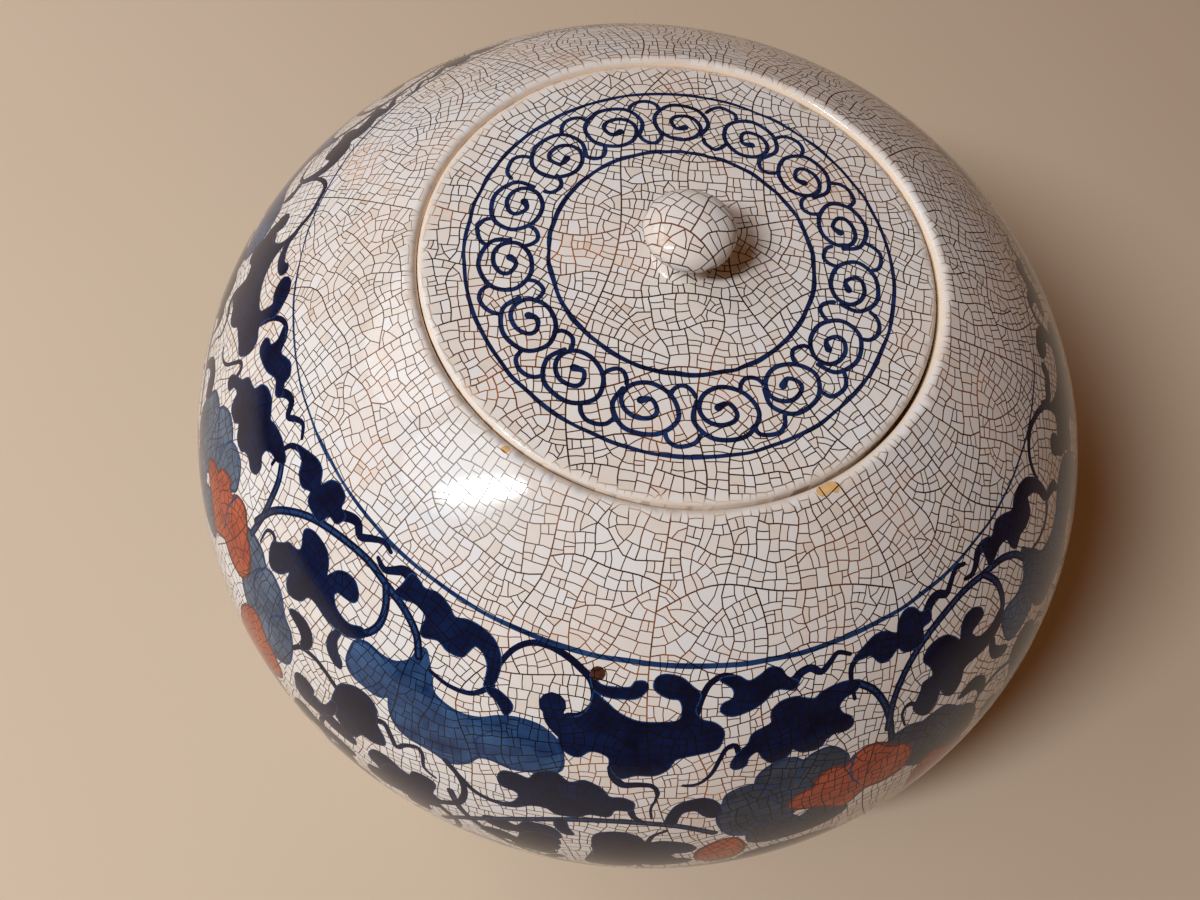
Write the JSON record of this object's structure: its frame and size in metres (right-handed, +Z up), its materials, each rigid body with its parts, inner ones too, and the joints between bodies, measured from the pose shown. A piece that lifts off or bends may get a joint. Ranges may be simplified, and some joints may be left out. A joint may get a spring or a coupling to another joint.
{
  "type": "rice bowl",
  "caption": "Squat round covered rice bowl in crackle-glazed stoneware, with an inset domed lid that lifts out by a small ball knob.",
  "frame": {"origin": "centre of the foot ring's resting plane, on the turning axis", "axes": "+Z up along the turning axis, from the foot ring to the knob; +X and +Y are free, because every piece is turned"},
  "size_m": [0.252, 0.252, 0.1793],
  "materials": {
    "bowl_glaze": "gloss crackle glaze with underglaze painting",
    "lid_glaze": "gloss crackle glaze with underglaze painting",
    "knob_glaze": "gloss crackle glaze"
  },
  "bodies": {
    "bowl": {"bowl": "bowl_glaze"},
    "lid": {"lid": "lid_glaze", "knob": "knob_glaze"}
  },
  "joints": [
    {"name": "lid_lift", "type": "slide", "parent": "bowl", "child": "lid", "axis": [0, 0, 1], "range_m": [0, 0.09]}
  ]
}
